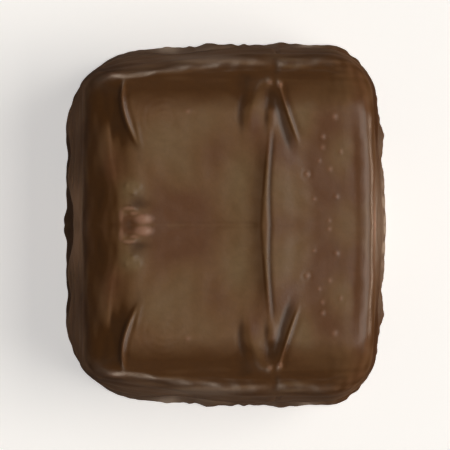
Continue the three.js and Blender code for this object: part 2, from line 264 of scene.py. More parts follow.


# %% [markdown]
# ## Folds on the top
# Every fold runs along a curve from a start past a bend to an end. Across it lie a few ridges
# and furrows. Each has its offset from the curve, its height, and two half widths, because a
# fold of chocolate leans over: it is steep on one side and slack on the other. Offsets are
# positive to the right of the way the fold runs, which for most of them is towards the left
# flank. A fold swells up over the first share of its length and dies away over the last.
# Each fold also paints light and shade into the colour. Painted shade makes a furrow as dark as
# a slope or darker, and painted light keeps a ridge as pale as the level top. The shade says how
# many times a fold's height counts for that. Some marks are mostly painted shade with little
# relief, so they are nearly flat and have a high shade, and the broad swell under the crease has
# none. Sculpted folds could look as real, but here each one can be moved, bent or leaned over by
# its own numbers.

# %% The folds' names and numbers, for the half with Y above 0
FOLDS = {
    "flank_ridge": {
        "path": [(-16.2, 12.9), (-16.7, 7.6), (-14.8, 2.2)],
        "across": [(0.0, 0.1, 0.9, 0.5), (-0.8, -0.04, 0.4, 0.9)],
        "rise": 0.15,
        "fade": 0.6,
        "shade": 1.0,
    },
    "flank_crest": {
        "path": [(-16.1, 11.8), (-16.1, 8.0), (-14.9, 4.0)],
        "across": [(0.0, 0.04, 0.25, 0.2)],
        "rise": 0.15,
        "fade": 0.6,
        "shade": 4.0,
    },
    "valley": {
        "path": [(-14.8, 15.5), (-14.9, 8.5), (-13.6, 3.0)],
        "across": [(0.0, -0.09, 0.9, 0.9)],
        "rise": 0.3,
        "fade": 0.35,
        "shade": 1.0,
    },
    "corner_lip": {
        "path": [(-14.0, 17.4), (-15.4, 14.0), (-12.0, 8.8)],
        "across": [(0.0, 0.16, 0.2, 0.3), (0.45, -0.24, 2.4, 0.25), (-0.6, -0.05, 0.3, 0.3)],
        "rise": 0.2,
        "fade": 0.4,
        "shade": 1.4,
    },
    "lip_echo": {
        "path": [(-13.0, 12.8), (-12.6, 11.0), (-11.9, 9.0)],
        "across": [(0.0, 0.06, 0.2, 0.3)],
        "rise": 0.4,
        "fade": 0.4,
        "shade": 1.0,
    },
    "fork_left": {
        "path": [(2.9, 17.4), (0.8, 14.6), (1.0, 10.4)],
        "across": [(0.0, 0.1, 0.5, 1.2)],
        "rise": 0.08,
        "fade": 0.35,
        "shade": 1.0,
    },
    "fork_shadow": {
        "path": [(1.0, 18.6), (0.1, 16.6), (-0.2, 13.6)],
        "across": [(0.0, -0.06, 1.1, 0.8)],
        "rise": 0.25,
        "fade": 0.7,
        "shade": 4.0,
    },
    "fork_notch": {
        "path": [(0.9, 16.4), (-0.3, 14.2), (0.0, 11.2)],
        "across": [(0.25, -0.04, 0.3, 0.7)],
        "rise": 0.35,
        "fade": 0.4,
        "shade": 6.5,
    },
    "apex_furrow": {
        "path": [(4.3, 20.2), (4.5, 18.8), (4.3, 17.6)],
        "across": [(0.0, -0.03, 0.4, 0.4)],
        "rise": 0.1,
        "fade": 0.4,
        "shade": 8.0,
    },
    "crease_swell": {
        "path": [(3.7, 12.6), (3.0, 6.0), (3.1, 0.0)],
        "across": [(0.0, 0.2, 2.2, 4.5)],
        "rise": 0.4,
        "fade": 0.0,
        "shade": 0.0,
    },
    "crease_crest": {
        "path": [(3.56, 13.4), (2.61, 6.0), (2.98, 0.0)],
        "across": [(0.0, 0.021, 0.2, 0.24)],
        "rise": 0.25,
        "fade": 0.0,
        "shade": 1.2,
    },
    "crease_dip": {
        "path": [(4.05, 12.6), (3.1, 6.0), (3.45, 0.0)],
        "across": [(0.0, -0.03, 0.22, 0.3)],
        "rise": 0.3,
        "fade": 0.0,
        "shade": 8.0,
    },
    "crease_shadow": {
        "path": [(3.2, 12.0), (2.5, 6.0), (2.2, 0.0)],
        "across": [(0.0, -0.06, 1.4, 0.2)],
        "rise": 0.45,
        "fade": 0.0,
        "shade": 3.1,
    },
    "fork_right": {
        "path": [(4.5, 17.2), (5.35, 13.6), (7.05, 9.4)],
        "across": [(0.0, 0.11, 0.15, 0.18), (-0.5, -0.03, 0.25, 0.4)],
        "rise": 0.08,
        "fade": 0.3,
        "shade": 3.0,
    },
    "fork_right_shadow": {
        "path": [(4.5, 15.8), (5.0, 12.1), (6.7, 8.2)],
        "across": [(0.45, -0.06, 0.28, 1.0)],
        "rise": 0.2,
        "fade": 0.35,
        "shade": 5.5,
    },
    "fork_hollow": {
        "path": [(3.3, 16.8), (3.2, 15.2), (3.3, 13.6)],
        "across": [(0.0, -0.07, 0.35, 1.1)],
        "rise": 0.3,
        "fade": 0.4,
        "shade": 2.0,
    },
    "pinch_lip": {
        "path": [(-11.9, 1.2), (-14.7, 3.3), (-14.5, 0.3)],
        "across": [(0.0, 0.05, 0.22, 0.22)],
        "rise": 0.3,
        "fade": 0.5,
        "shade": 2.0,
    },
    "right_furrow": {
        "path": [(13.3, 13.5), (13.7, 6.0), (13.7, 0.0)],
        "across": [(0.0, -0.03, 0.9, 0.5)],
        "rise": 0.4,
        "fade": 0.0,
        "shade": 0.3,
    },
}

# %% How one fold rises
# how softly a fold stops at its ends, and the number of points that its curve is made of
END_SOFTNESS = 0.6
CURVE_STEPS = 160
# a fold is worked out as far as so many half widths from its curve
FOLD_REACH = 2.5
# a fold starts to swell a little before its curve does, so it is not quite flat at its start
SWELL_STARTS = -0.02


def leaning_hump(offset, half_right, half_left):
    """A hump with its own half width on each side."""
    return hump(offset, np.where(offset > 0, half_right, half_left))


def curve(path):
    """Points of a curve from its start past its bend to its end, and its way at each."""
    start, bend, end = (np.array(point) for point in path)
    t = np.linspace(0.0, 1.0, CURVE_STEPS)[:, None]
    points = (1 - t) ** 2 * start + 2 * t * (1 - t) * bend + t**2 * end
    ways = 2 * (1 - t) * (bend - start) + 2 * t * (end - bend)
    return points, ways / np.linalg.norm(ways, axis=1, keepdims=True)


def beside_curve(points, ways, x, y):
    """Offset from the curve at x, y, distance past its ends, and share of its length."""
    gaps = np.hypot(x[:, None] - points[:, 0], y[:, None] - points[:, 1])
    nearest = gaps.argmin(axis=1)
    gap = gaps[np.arange(len(x)), nearest]
    point, way = points[nearest], ways[nearest]
    offset = (x - point[:, 0]) * way[:, 1] - (y - point[:, 1]) * way[:, 0]
    beyond = np.sqrt(np.maximum(gap**2 - offset**2, 0.0))
    return offset, beyond, nearest / (CURVE_STEPS - 1)


def fold_height(fold, x, y):
    """Height that one fold adds at x, y."""
    points, ways = curve(fold["path"])
    reach = max(abs(at) + FOLD_REACH * max(halves) for at, _, *halves in fold["across"])
    near = (x > points[:, 0].min() - reach) & (x < points[:, 0].max() + reach)
    near &= (y > points[:, 1].min() - reach) & (y < points[:, 1].max() + reach)
    offset, beyond, share = beside_curve(points, ways, x[near], y[near])
    swell = ramp(share, SWELL_STARTS, fold["rise"])
    if fold["fade"]:
        swell *= 1 - ramp(share, 1 - fold["fade"], 1.0)
    swell *= hump(beyond, END_SOFTNESS)
    profile = sum(
        lift * leaning_hump(offset - at, right, left) for at, lift, right, left in fold["across"]
    )
    height = np.zeros_like(x)
    height[near] = swell * profile
    return height


# %% [markdown]
# ## The pinch, the knobs, the seam and the bubbles
# Where the dipping fork let go it left a pinch in the left edge: a shallow bowl with knobs and
# dips round it, the largest knob on its inner side. More knobs sit where the folds meet near
# each end. A faint seam shows where two flows of chocolate met along the middle, fine wrinkles
# lie in rings near each left corner, and a few air bubbles set just under the surface. All of
# these are round or straight, so plain humps make them, and a cosine makes the rings.

# %% Pinch, knobs, seam, wrinkles and bubbles
# place, half widths along X and Y, and height, below 0 for a dip; the first is the pinch's bowl
KNOBS = [
    ((-13.4, 0.0), (0.7, 0.6), -0.04),
    ((-11.9, 0.75), (0.9, 0.5), 0.13),
    ((-13.3, 1.85), (0.7, 0.4), 0.04),
    ((-14.6, 1.1), (0.45, 0.6), 0.03),
    ((-13.9, 4.7), (0.25, 0.3), 0.04),
    ((-13.1, 3.8), (0.3, 0.25), 0.04),
    ((-12.3, 4.6), (0.25, 0.25), 0.03),
    ((-13.7, 1.25), (0.35, 0.25), -0.04),
    ((-14.7, 0.0), (0.35, 0.9), 0.06),
    ((-12.3, 2.6), (1.0, 0.5), -0.02),
    ((-13.3, 4.2), (0.9, 0.8), 0.08),
    ((3.4, 17.2), (0.5, 0.4), 0.12),
    ((4.65, 16.9), (0.4, 0.5), 0.13),
    ((3.7, 12.9), (0.55, 1.2), 0.09),
]
# the seam comes and goes over the length called ends
SEAM = {"from": -10.6, "to": 2.2, "ends": 1.0, "depth": 0.03, "half": 0.35}
WRINKLES = {"centre": (-9.4, 12.8), "spacing": 0.85, "depth": 0.012, "half": 2.4}
# place, half width, height
BUBBLES = [
    ((11.1, 13.0), 0.34, 0.06),
    ((9.7, 10.6), 0.28, 0.06),
    ((9.7, 9.3), 0.26, 0.03),
    ((10.6, 6.7), 0.24, 0.03),
    ((11.4, 3.4), 0.28, 0.05),
    ((10.5, 0.5), 0.22, 0.03),
    ((-6.5, 13.6), 0.28, 0.05),
    ((8.7, 3.1), 0.2, 0.03),
    ((9.3, 7.7), 0.2, 0.03),
    ((11.9, 8.8), 0.24, 0.04),
    ((7.85, 6.1), 0.24, 0.02),
]
# the last of them has a shallow furrow round it
RINGED_BUBBLE = {"at": (7.85, 6.1), "radius": 0.5, "depth": 0.02, "half": 0.2}


def with_spots(field, spots, x, y):
    """The field with a hump added at every spot, of the spot's half widths and amount."""
    for (at_x, at_y), (half_x, half_y), amount in spots:
        field = field + amount * hump(x - at_x, half_x) * hump(y - at_y, half_y)
    return field


def bubble_height(x, y):
    height = np.zeros_like(x)
    for (at_x, at_y), half, lift in BUBBLES:
        height += lift * hump(np.hypot(x - at_x, y - at_y), half)
    at_x, at_y = RINGED_BUBBLE["at"]
    ring = np.hypot(x - at_x, y - at_y) - RINGED_BUBBLE["radius"]
    return height - RINGED_BUBBLE["depth"] * hump(ring, RINGED_BUBBLE["half"])


def wrinkle_height(x, y):
    away = np.hypot(x - WRINKLES["centre"][0], y - WRINKLES["centre"][1])
    rings = np.cos(2 * math.pi * away / WRINKLES["spacing"])
    return WRINKLES["depth"] * rings * hump(away, WRINKLES["half"])


def seam_depth(x, y):
    start, stop, run = SEAM["from"], SEAM["to"], SEAM["ends"]
    along = ramp(x, start, start + run) * (1 - ramp(x, stop - run, stop))
    return SEAM["depth"] * along * hump(y, SEAM["half"])


def top_relief(x, y):
    """Height that all of the relief adds to the top at x, y, and the light and shade it paints."""
    up = np.abs(y)
    height = with_spots(np.zeros_like(x), KNOBS, x, up)
    shading = height.copy()
    for fold in FOLDS.values():
        lift = fold_height(fold, x, up)
        height += lift
        shading += fold["shade"] * lift
    height += bubble_height(x, up)
    height += wrinkle_height(x, up)
    return height - seam_depth(x, up), shading


# %% [markdown]
# ## Marks for the finish
# Set chocolate isn't one colour. It is warmer and deeper in some patches and more olive in
# others, and it runs in streaks over a shoulder. Light and shade are painted into the colour as
# well: painted shade down in the furrows and hollows, and painted light on ridges, rims and
# slopes that face the lamps. The coat turns pale where it is thin, in the frost on the right
# wall and at the foot's brittle edge. On the bubbles and the knobs the pale colour is both thin
# chocolate and a painted highlight, and along the end rim and the pinch's rim it is a painted
# highlight. Each point of the mesh carries three numbers for this, so the colours follow the
# same named places as the relief does. The first is the tint: on the top it goes from olive to
# warm, and on a wall from pale to deep, and in a few places it paints shade, and on the left
# wall a reflection. The second is the lift, which holds the painted light and shade: below 0 in
# a furrow, and above 0 on a ridge or on a slope that is painted as pale as the level top. The
# third is the share of pale colour. Painting by hand would give the same colours, but they
# would not move with the folds.

# %% Tint
# place, half widths along X and Y, and warmth: above 0 warmer and deeper, below 0 more olive
TINTS = {
    "middle": ((-6.5, 0.5), (6.0, 3.8), 0.55),
    "right_strip": ((9.2, 5.0), (2.0, 8.0), 0.8),
    "right_edge": ((14.2, 8.0), (1.0, 9.0), 1.2),
    "fork_side": ((1.5, 12.4), (0.9, 1.6), 0.8),
    "left_corner": ((-15.6, 16.0), (1.6, 2.4), 1.0),
    "beside_crease": ((-0.3, 4.4), (1.9, 3.6), -1.0),
    "left_field": ((-9.2, 9.6), (2.8, 3.2), -0.6),
    "by_the_pinch": ((-13.2, 4.3), (1.3, 1.0), -1.4),
    "grey_streak": ((7.8, 13.8), (0.8, 2.2), -0.4),
    # the next four are painted shade: the fork's hollow, its furrow, right of the knobs, the bowl
    "fork_hollow": ((4.2, 14.4), (1.2, 1.8), 1.2),
    "fork_furrow_shade": ((5.8, 9.6), (0.8, 2.4), 1.0),
    "shadow_right_of_knobs": ((-10.0, 0.6), (1.3, 1.2), 0.9),
    "pinch_bowl_shade": ((-13.5, 0.3), (0.9, 0.9), 1.5),
    "flank": ((-15.6, 7.0), (1.6, 5.5), 0.5),
}
TINT_DRIFT = {"size": 7.0, "share": 0.35}
# on a wall: the tint's middle, its streaks, which are shorter upwards, and its places, which
# paint shade on the right wall, in the far left corner and further along the left wall, and a
# painted reflection at the middle of the left wall
WALL_DEPTH = 0.5
WALL_DEPTH_STREAKS = {"size": 10.0, "squat": 5.0, "share": 0.12}
WALL_SHADE_AND_LIGHT = [
    ((18.5, 13.5), (3.5, 6.5), 0.6),
    ((-17.5, 17.5), (3.0, 3.0), 0.3),
    ((-19.5, 8.5), (2.5, 3.5), 0.1),
    ((-19.5, 2.0), (2.5, 2.8), -0.6),
]
# a wall's tint is full below the first height and gone above the second
WALL_TINT_HEIGHTS = (HEIGHT - 4.5, HEIGHT - 3)


def top_tint(points):
    """0.5 for plain, towards 0 for olive and 1 for warm, which in a few places is painted shade."""
    warmth = TINT_DRIFT["share"] * drift(points, TINT_DRIFT["size"], seed=21)
    return 0.5 + 0.5 * with_spots(warmth, TINTS.values(), points[:, 0], points[:, 1])


def wall_tint_and_shade(points):
    """0 for pale and 1 for deep, with painted shade and a painted reflection at the listed places.
    """
    squat = points * [1, 1, WALL_DEPTH_STREAKS["squat"]]
    streaks = drift(squat, WALL_DEPTH_STREAKS["size"], seed=41)
    depth = WALL_DEPTH + WALL_DEPTH_STREAKS["share"] * streaks
    return np.clip(with_spots(depth, WALL_SHADE_AND_LIGHT, points[:, 0], points[:, 1]), 0, 1)


# %% Lift: painted light and shade
# painted shade makes a furrow this deep as dark as a slope, and painted light makes a ridge
# this high as pale as the level
FULL_RELIEF = 0.3
# painted light on slopes that face the lamps, on rims and on ridges, and painted shade in
# hollows and beside folds and knobs: place, half widths along X and Y, and share
PAINTED_LIGHT_AND_SHADE = [
    ((14.2, 0.0), (1.5, 15.0), 0.75),
    ((13.5, 16.0), (2.5, 2.2), 0.4),
    ((0.0, 19.7), (14.0, 0.5), 0.3),
    ((-15.6, 17.6), (1.4, 0.7), 0.3),
    ((8.5, 16.3), (3.2, 1.4), 0.35),
    ((-16.0, 9.2), (0.9, 3.2), 1.0),
    ((-14.6, 6.0), (1.0, 3.5), 0.35),
    ((-12.5, 9.6), (0.7, 2.4), -0.35),
    ((-18.6, 6.0), (0.4, 7.0), 0.3),
    ((3.8, 15.2), (0.85, 1.2), -0.9),
    ((2.95, 12.9), (0.35, 1.3), -0.9),
    ((0.0, 11.9), (0.35, 1.0), -0.5),
    ((-12.2, 2.4), (1.4, 0.55), -0.5),
    ((-12.7, 3.2), (1.4, 1.0), -0.4),
    ((-13.5, 0.2), (0.7, 0.7), -0.45),
    ((-15.5, 0.7), (0.35, 0.8), 0.4),
    ((-10.2, 0.6), (0.8, 0.8), -0.25),
]
# streaks where the coat ran over the shoulders, long along the side and narrow across it
STREAKS = {"flank": [3.5, 0.6, 2.0], "end": [0.6, 3.5, 2.0], "size": 3.5, "share": 0.32}
# on the left flank they are full outside the first place along X and gone inside the second
STREAKS_ON_FLANK = (-15.5, -13.5)
# on the right strip they set in between these two, with only this share of their strength
STREAKS_ON_STRIP, STRIP_SHARE = (9.0, 12.0), 0.5
# at both ends they set in between these two places along Y
STREAKS_ON_ENDS = (16.5, 18.5)


def shade_light_and_streaks(points, shading):
    """-1 for painted shade in a furrow, 0 for the slope's brown, 1 for painted light, with streaks.
    """
    x, y = points[:, 0], points[:, 1]
    along_flank = drift(points * STREAKS["flank"], STREAKS["size"], seed=51)
    along_end = drift(points * STREAKS["end"], STREAKS["size"], seed=52)
    on_side = 1 - ramp(x, *STREAKS_ON_FLANK) + STRIP_SHARE * ramp(x, *STREAKS_ON_STRIP)
    lift = shading / FULL_RELIEF
    lift += STREAKS["share"] * along_flank * on_side
    lift += STREAKS["share"] * along_end * ramp(y, *STREAKS_ON_ENDS)
    return np.clip(with_spots(lift, PAINTED_LIGHT_AND_SHADE, x, y), -1, 1)


# %% Thin and pale places, and painted highlights
# pale on the knobs, thin chocolate and painted highlight both, and painted highlights on the
# pinch's rim and the end rim: place, half widths along X and Y, and share of the pale colour
PALE_AND_HIGHLIGHT_SPOTS = [
    ((-11.8, 0.7), (1.05, 0.6), 0.9),
    ((-13.6, 2.0), (0.8, 0.24), 0.5),
    ((-14.5, 1.2), (0.28, 0.8), 0.5),
    ((-12.9, 1.4), (0.5, 0.24), 0.45),
    ((3.4, 17.2), (0.35, 0.3), 0.5),
    ((-4.6, 20.1), (4.5, 0.6), 0.3),
    ((4.65, 16.9), (0.35, 0.4), 0.5),
]
# bubbles are pale, thin chocolate and painted highlight both, only above this height
BUBBLE_PALE = 0.5
BUBBLES_ABOVE = HEIGHT - 2
# an uneven share that breaks up the pale edges, 0 and 1 where the drift has these two values
CRUMBS = {"size": 2.0, "none": -1.2, "full": 0.4}
# the foot's edge is pale up to the first height and not above the second, this far out
FOOT_PALE_HEIGHTS = (0.9, 1.5)
FOOT_PALE_OUT = 15.0
# half width and share on the right, then place along X, half width and share of each flake
FOOT_PALE_RIGHT = (6.5, 1.1)
FOOT_FLAKES = [(-7.3, 1.3, 0.9), (9.9, 1.0, 0.7)]
# frost on the right wall: it sets in going out, reaches so far along it, and is full high up
FROST = {"from": 15.8, "full": 16.3, "reach": 4.8, "above": 18.0, "rise": 1.5, "share": 0.95}
# the frost's share lower down the wall, and its share where the crumbs leave it out
FROST_LOW, FROST_BROKEN = 0.45, 0.6


def pale_spots_and_bubbles(x, y, height):
    """The pale spots, painted highlights among them, and the pale bubbles on the top."""
    pale = np.zeros_like(x)
    for (at_x, at_y), halves, share in PALE_AND_HIGHLIGHT_SPOTS:
        pale = np.maximum(pale, share * patch(x - at_x, y - at_y, halves))
    for (at_x, at_y), half, _ in BUBBLES:
        spot = hump(np.hypot(x - at_x, y - at_y), half)
        pale += BUBBLE_PALE * (height > BUBBLES_ABOVE) * spot
    return pale


def pale_foot(x, y, height, crumbs):
    """The foot's edge: crumbling on the right, with two flakes at each end."""
    on_foot = 1 - ramp(height, *FOOT_PALE_HEIGHTS)
    reach, share = FOOT_PALE_RIGHT
    pale = on_foot * crumbs * share * hump(y, reach) * (x > FOOT_PALE_OUT)
    for at, half, share in FOOT_FLAKES:
        pale += on_foot * share * hump(x - at, half) * (y > FOOT_PALE_OUT)
    return pale


def frost(x, y, height, crumbs):
    """The frosted strip of the right wall."""
    frosted = ramp(x, FROST["from"], FROST["full"]) * hump(y, FROST["reach"])
    high_up = ramp(height + crumbs, FROST["above"], FROST["above"] + FROST["rise"])
    frosted *= FROST_LOW + (1 - FROST_LOW) * high_up
    return FROST["share"] * frosted * (FROST_BROKEN + (1 - FROST_BROKEN) * crumbs)


def pale_mark(points):
    """Share of the pale colour at each point, for thin chocolate and painted highlights."""
    x, y, height = points.T
    crumbs = ramp(drift(points, CRUMBS["size"], seed=31), CRUMBS["none"], CRUMBS["full"])
    pale = pale_spots_and_bubbles(x, y, height) + pale_foot(x, y, height, crumbs)
    return np.maximum(pale, frost(x, y, height, crumbs))


# %% The three marks together
def upper_half(points):
    """The points with Y made positive, so that both halves come out the same."""
    return np.column_stack([points[:, 0], np.abs(points[:, 1]), points[:, 2]])


def finish_marks(points, shading):
    """Tint, lift with its painted light and shade, and share of pale at each point."""
    upper = upper_half(points)
    on_wall = 1 - ramp(upper[:, 2], *WALL_TINT_HEIGHTS)
    tint = (1 - on_wall) * top_tint(upper) + on_wall * wall_tint_and_shade(upper)
    return np.column_stack([tint, shade_light_and_streaks(upper, shading), pale_mark(upper)])


# %% [markdown]
# ## The mesh of the coat
# The top is a grid whose lines lie closest over the folds. Its outermost line is a loop, and
# that loop goes down in rows: a few to finish the shoulder, then the wall, and most of them
# near the foot. The underside closes it with rings that shrink towards the middle. It is
# slightly hollow, as the underside of a set sweet is, so the piece rests on its foot. A
# subdivided cube would spend as many faces on the plain middle as on the folds.

# %% Lines and rows
# the plateau's share of the square, and the share of the shoulder's turn that lies on the grid
PLATEAU_SHARE = 0.72
SHOULDER_ON_TOP = 0.72
# places of the grid's lines on the square, from -1 to 1, evenly spaced between the listed lines
LINES_X = np.interp(
    np.arange(221),
    [0, 44, 60, 88, 156, 196, 220],
    [-1, -0.72, -0.59, -0.02, 0.47, 0.72, 1],
)
HALF_LINES_Y = np.interp(np.arange(116), [0, 28, 96, 115], [0, 0.16, 0.72, 1])
LINES_Y = np.concatenate([-HALF_LINES_Y[:0:-1], HALF_LINES_Y])
# rows of the shoulder, and shares of the way down the wall where its rows lie
SHOULDER_ROWS = 7
WALL_ROWS = np.interp(np.arange(1, 32), [0, 14, 29, 31], [0, 0.86, 0.985, 1])
# unevenness: size of its swells, their height and the seed of the draw
UNEVEN_TOP = [(9.0, 0.035, 11), (2.6, 0.009, 12)]
UNEVEN_SHOULDER = [(5.0, 0.1, 17), (2.0, 0.035, 18)]
UNEVEN_WALL = (6.0, 0.09, 5)
# swells that lie along the wall: the same numbers, and how much shorter they are upwards
WALL_STREAKS, WALL_SQUAT = (9.0, 0.14, 8), 5.0
# the share of the wall, from its top, over which its swells set in
WALL_START = 0.12
# keeps the middle of the square from a division by zero
TINY = 1e-9
print(len(LINES_X), "x", len(LINES_Y), "lines,", SHOULDER_ROWS + len(WALL_ROWS), "rows")


# %% Points of the top and of the walls
def unevenness(points, size, swell, seed):
    return swell * drift(points, size, seed)


def top_points_at(p, q, shoulder_share):
    """Plateau and shoulder at places p, q of the square, and how level the coat is there."""
    ring = np.maximum(np.maximum(np.abs(p), np.abs(q)), TINY)
    edge_p, edge_q = p / ring, q / ring
    plateau, _ = outline(PLATEAU, edge_p, edge_q)
    crown, _ = outline(CROWN, edge_p, edge_q)
    _, face = outline(FOOT, edge_p, edge_q)
    inner = np.minimum(ring / PLATEAU_SHARE, 1.0)[:, None]
    over = np.maximum(ring - PLATEAU_SHARE, 0.0) / (1 - PLATEAU_SHARE)
    turned = over * (SHOULDER_ON_TOP + (1 - SHOULDER_ON_TOP) * shoulder_share)
    out, drop, level = shoulder(face, turned)
    reach = np.linalg.norm(crown - plateau, axis=1)
    place = np.where(over[:, None] > 0, plateau + out[:, None] * (crown - plateau), inner * plateau)
    height = HEIGHT - top_fall(place[:, 0], place[:, 1]) - drop * reach
    points = np.column_stack([place, height])
    uneven = sum(unevenness(upper_half(points), *numbers) for numbers in UNEVEN_SHOULDER)
    points[:, :2] += (uneven * np.sin(math.pi * np.minimum(turned, 1)))[:, None] * face
    return points, level


def wall_points_at(p, q, down):
    """The wall at the square's edge, a share of the way down from the crown to the sheet."""
    rim, level = top_points_at(p, q, 1.0)
    crown, _ = outline(CROWN, p, q)
    base, _ = outline(WALL_BASE, p, q)
    foot, face = outline(FOOT, p, q)
    height = rim[:, 2] * (1 - down)
    place = crown + down * (base - crown)
    angle = np.arctan2(foot[:, 1], foot[:, 0])
    upper = upper_half(np.column_stack([place, height]))
    swell = wall_swell(face, angle, place[:, 0], height)
    swell += unevenness(upper, *UNEVEN_WALL)
    swell += unevenness(upper * [1, 1, WALL_SQUAT], *WALL_STREAKS)
    place = place + (ramp(down, 0.0, WALL_START) * swell)[:, None] * face
    place += foot_share(angle, height)[:, None] * (foot - place)
    return np.column_stack([place, height]), level


# %% Points and faces of the coat
def coat_points():
    """Every point of the coat above the underside, first the top grid, then the rows."""
    p, q = np.meshgrid(LINES_X, LINES_Y)
    grid = np.arange(p.size).reshape(p.shape)
    loop = np.concatenate([grid[0, :-1], grid[:-1, -1], grid[-1, :0:-1], grid[:0:-1, 0]])
    p, q = p.ravel(), q.ravel()
    rows = [top_points_at(p, q, 0.0)]
    for row in range(1, SHOULDER_ROWS + 1):
        rows.append(top_points_at(p[loop], q[loop], row / SHOULDER_ROWS))
    for down in WALL_ROWS:
        rows.append(wall_points_at(p[loop], q[loop], down))
    points = np.concatenate([row_points for row_points, _ in rows])
    level = np.concatenate([row_level for _, row_level in rows])
    flat = upper_half(points) * [1, 1, 0]
    uneven = sum(unevenness(flat, *numbers) for numbers in UNEVEN_TOP)
    relief, shading = top_relief(points[:, 0], points[:, 1])
    points[:, 2] += level * (relief + uneven)
    return points, level * shading, grid, loop


def coat_faces(grid, loop, first_row, row_count):
    """Quads of the top grid, then of the rows, all facing out."""
    top = np.stack([grid[:-1, :-1], grid[:-1, 1:], grid[1:, 1:], grid[1:, :-1]], axis=-1)
    rows = [loop] + [first_row + k * len(loop) + np.arange(len(loop)) for k in range(row_count)]
    walls = [
        np.stack([low, np.roll(low, -1), np.roll(high, -1), high], axis=-1)
        for high, low in zip(rows[:-1], rows[1:])
    ]
    return np.concatenate([top.reshape(-1, 4), *walls]), rows[-1]


points, shading, grid, loop = coat_points()
row_count = SHOULDER_ROWS + len(WALL_ROWS)
quads, base_loop = coat_faces(grid, loop, grid.size, row_count)
print(len(points), "points,", len(quads), "quads")

# %% Underside rings
UNDERSIDE_RINGS = [0.97, 0.9, 0.75, 0.5, 0.25]
UNDERSIDE_HOLLOW = 0.12
# the share of the way in after which the hollow is at its deepest
UNDERSIDE_RUN = 0.4
base = points[base_loop]
ring_before = base_loop
under_quads = []
for share in UNDERSIDE_RINGS:
    ring = base * [share, share, 0]
    ring[:, 2] = UNDERSIDE_HOLLOW * ramp(1 - share, 0.0, UNDERSIDE_RUN)
    ring_now = len(points) + np.arange(len(base_loop))
    points = np.vstack([points, ring])
    under_quads.append(
        np.stack([ring_now, np.roll(ring_now, -1), np.roll(ring_before, -1), ring_before], axis=-1)
    )
    ring_before = ring_now
points = np.vstack([points, [0, 0, UNDERSIDE_HOLLOW]])
middle = len(points) - 1
under_fan = [(middle, int(b), int(a)) for a, b in zip(ring_before, np.roll(ring_before, -1))]
box_low, box_high = points.min(axis=0), points.max(axis=0)
marks = finish_marks(points, np.concatenate([shading, np.zeros(len(points) - len(shading))]))
points[:, :2] -= (box_low[:2] + box_high[:2]) / 2
print("coat measures", (box_high - box_low).round(2), "mm")

# %% [markdown]
# ## One object with two finishes
# The coat is one piece, so it is one object. Its mesh has two material slots, because the
# underside set against paper and looks different. The three marks go along as a vector on each
# point, where the materials read them, so no picture has to be wrapped round the sweet.

# %% The coat as an object
faces = [tuple(map(int, quad)) for quad in quads]
coat_face_count = len(faces)
faces += [tuple(map(int, quad)) for quad in np.concatenate(under_quads)] + under_fan
coat_mesh = bpy.data.meshes.new("chocolate_coat")
coat_mesh.from_pydata((points * MM).tolist(), [], faces)
coat_mesh.polygons.foreach_set("use_smooth", [True] * len(faces))
coat_mesh.polygons.foreach_set(
    "material_index", [0] * coat_face_count + [1] * (len(faces) - coat_face_count)
)
mark_layer = coat_mesh.attributes.new("marks", "FLOAT_VECTOR", "POINT")
mark_layer.data.foreach_set("vector", marks.astype(np.float32).ravel())
coat_mesh.validate()
coat = bpy.data.objects.new("chocolate_coat", coat_mesh)
bpy.context.scene.collection.objects.link(coat)
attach(coat, "root")
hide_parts("chocolate_covered_marshmallow")
print("triangles:", sum(len(face) - 2 for face in faces))

# %% [markdown]
# ## Shared effects of the finish
# Three effects show on every face of the sweet. One is mottling, where cocoa butter settled
# unevenly, in patches some millimetres across and in fine specks. One is the grain of a set
# surface. And slopes are painted darker than the level top, as painted shade, so a mask tells
# the level parts from the steep ones. A second mask tells what lies near the sheet. Each is a
# node group with named sockets, so it is built once, and a material can use it more than once,
# with values of its own.


# %% Node helpers
def new_group(name, inputs, outputs):
    """A shader node group with float inputs (name, default) and outputs (name, type)."""
    group = bpy.data.node_groups.new(name, "ShaderNodeTree")
    for label, default in inputs:
        socket = group.interface.new_socket(label, in_out="INPUT", socket_type="NodeSocketFloat")
        socket.default_value = default
    for label, kind in outputs:
        group.interface.new_socket(label, in_out="OUTPUT", socket_type=kind)
    group.nodes.new("NodeGroupInput").name = "In"
    group.nodes.new("NodeGroupOutput").name = "Out"
    return group


def add(tree, kind, **settings):
    """A node in tree, with its settings and the defaults of its named inputs."""
    node = tree.nodes.new(kind)
    for key, value in settings.items():
        if hasattr(node, key):
            setattr(node, key, value)
        else:
            node.inputs[key.replace("_", " ")].default_value = value
    return node


def join(tree, source, target):
    tree.links.new(source, target)


# %% Mottling and grain groups
def mottling_group():
    group = new_group(
        "cocoa_mottling",
        [("Patch Scale", 180.0), ("Speck Scale", 1500.0)],
        [("Patches", "NodeSocketFloat"), ("Specks", "NodeSocketFloat")],
    )
    place = add(group, "ShaderNodeTexCoord")
    inputs, out = group.nodes["In"], group.nodes["Out"]
    patches = add(group, "ShaderNodeTexNoise", Detail=4.0, Roughness=0.55, Distortion=0.6)
    specks = add(group, "ShaderNodeTexNoise", Detail=2.0, Roughness=0.6)
    join(group, place.outputs["Object"], patches.inputs["Vector"])
    join(group, place.outputs["Object"], specks.inputs["Vector"])
    join(group, inputs.outputs["Patch Scale"], patches.inputs["Scale"])
    join(group, inputs.outputs["Speck Scale"], specks.inputs["Scale"])
    join(group, patches.outputs["Fac"], out.inputs["Patches"])
    join(group, specks.outputs["Fac"], out.inputs["Specks"])
    return group


